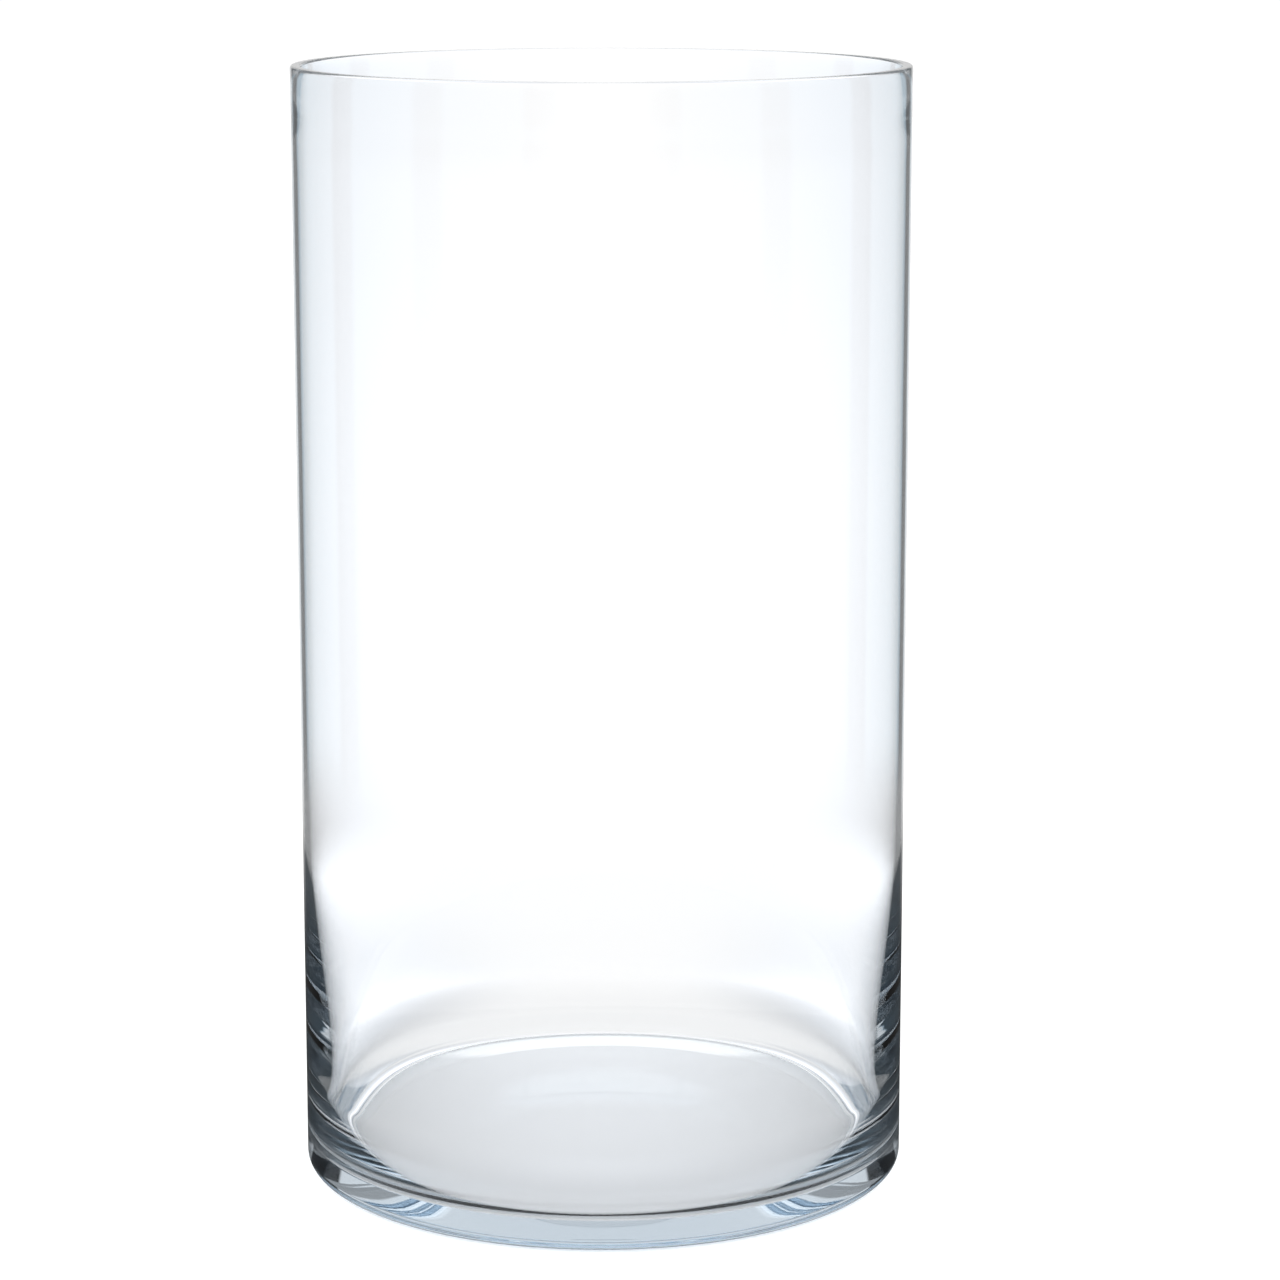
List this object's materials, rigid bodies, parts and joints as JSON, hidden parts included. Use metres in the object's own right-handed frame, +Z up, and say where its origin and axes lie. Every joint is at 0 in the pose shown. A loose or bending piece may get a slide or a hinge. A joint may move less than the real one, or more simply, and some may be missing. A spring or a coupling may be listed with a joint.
{
  "type": "cylinder vase",
  "caption": "Clear glass cylinder vase with a straight wall, flat ground rim, heavy thickened foot and softly rounded heel, for cut flowers, branches or a pillar candle.",
  "frame": {"origin": "the centre of the standing ring on the underside, on the surface the vase stands on", "axes": "+Z is up, along the axis of the vase. The vase is round, so +X and +Y are any two level directions at right angles."},
  "size_m": [0.191, 0.191, 0.35],
  "materials": {
    "clear_glass": "colourless soda-lime glass with a faint cool tint in thick places, smooth and glossy inside and out, with a ground and polished rim"
  },
  "bodies": {
    "root": {"glass_vase": "clear_glass"}
  },
  "joints": []
}
